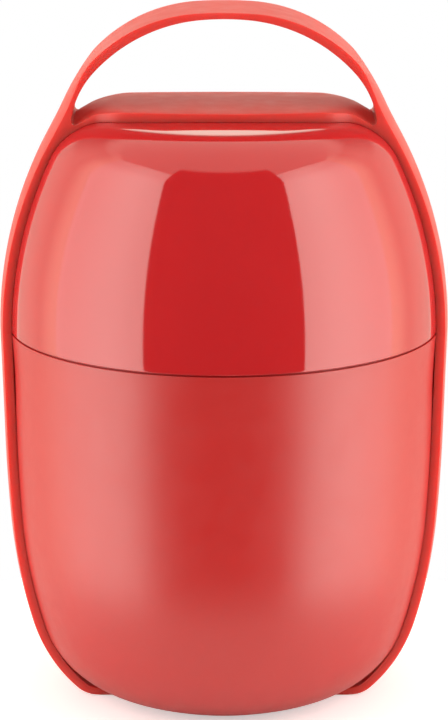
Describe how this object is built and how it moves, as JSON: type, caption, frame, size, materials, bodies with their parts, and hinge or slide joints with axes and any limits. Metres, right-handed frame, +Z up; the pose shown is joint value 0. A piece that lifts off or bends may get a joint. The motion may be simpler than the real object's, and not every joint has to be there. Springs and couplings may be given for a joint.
{
  "type": "lunch pot",
  "caption": "Round two-tier lunch pot with a domed lid, inner steel and plastic bowls with covers, held shut by an elastic strap that forms a carrying handle.",
  "frame": {"origin": "centre of the pot's foot, on the surface it stands on", "axes": "+Z up through the lid and the handle, the strap and the handle run along X, the picture looks along +Y"},
  "size_m": [0.12, 0.1152, 0.1871],
  "materials": {
    "pot": "satin, injection moulded",
    "lid": "polished, injection moulded",
    "strap": "matt moulded elastomer",
    "gasket_red": "moulded silicone",
    "gasket": "moulded silicone",
    "vent": "moulded silicone",
    "steel": "deep-drawn stainless steel, brushed",
    "cover": "satin polypropylene",
    "bowl": "satin polypropylene",
    "upper_cover": "satin polypropylene"
  },
  "bodies": {
    "pot": {"pot_shell": "pot", "rim_gasket": "gasket_red"},
    "strap": {"carry_strap": "strap"},
    "lower_bowl": {"lower_bowl": "steel"},
    "lower_cover": {"lower_cover": "cover", "lower_cover_gasket": "gasket"},
    "vent": {"vent_plug": "vent"},
    "upper_bowl": {"upper_bowl": "bowl"},
    "upper_cover": {"upper_cover": "upper_cover", "upper_cover_gasket": "gasket"},
    "lid": {"dome_lid": "lid"}
  },
  "joints": [
    {"name": "strap_swing", "type": "hinge", "parent": "pot", "child": "strap", "pos_m": [0, 0, 0.04], "axis": [-1, 0, 0], "range_deg": [0, 100], "deforming": ["carry_strap"]},
    {"name": "lower_bowl_lift", "type": "slide", "parent": "pot", "child": "lower_bowl", "axis": [0, 0, 1], "range_m": [0, 0.1022]},
    {"name": "lower_cover_lift", "type": "slide", "parent": "pot", "child": "lower_cover", "axis": [0, 0, 1], "range_m": [0, 0.1212]},
    {"name": "upper_bowl_lift", "type": "slide", "parent": "pot", "child": "upper_bowl", "axis": [0, 0, 1], "range_m": [0, 0.1371]},
    {"name": "upper_cover_lift", "type": "slide", "parent": "pot", "child": "upper_cover", "axis": [0, 0, 1], "range_m": [0, 0.1451]},
    {"name": "lid_lift", "type": "slide", "parent": "pot", "child": "lid", "axis": [0, 0, 1], "range_m": [0, 0.1901]},
    {"name": "vent_pull", "type": "slide", "parent": "lower_cover", "child": "vent", "axis": [0, 0, 1], "range_m": [0, 0.0025]}
  ],
  "couplings": [
    {"joint": "lower_bowl_lift", "follows": "strap_swing", "m_per_rad": 0.0585},
    {"joint": "lower_cover_lift", "follows": "strap_swing", "m_per_rad": 0.0694},
    {"joint": "upper_bowl_lift", "follows": "strap_swing", "m_per_rad": 0.0785},
    {"joint": "upper_cover_lift", "follows": "strap_swing", "m_per_rad": 0.0831},
    {"joint": "lid_lift", "follows": "strap_swing", "m_per_rad": 0.1089}
  ]
}
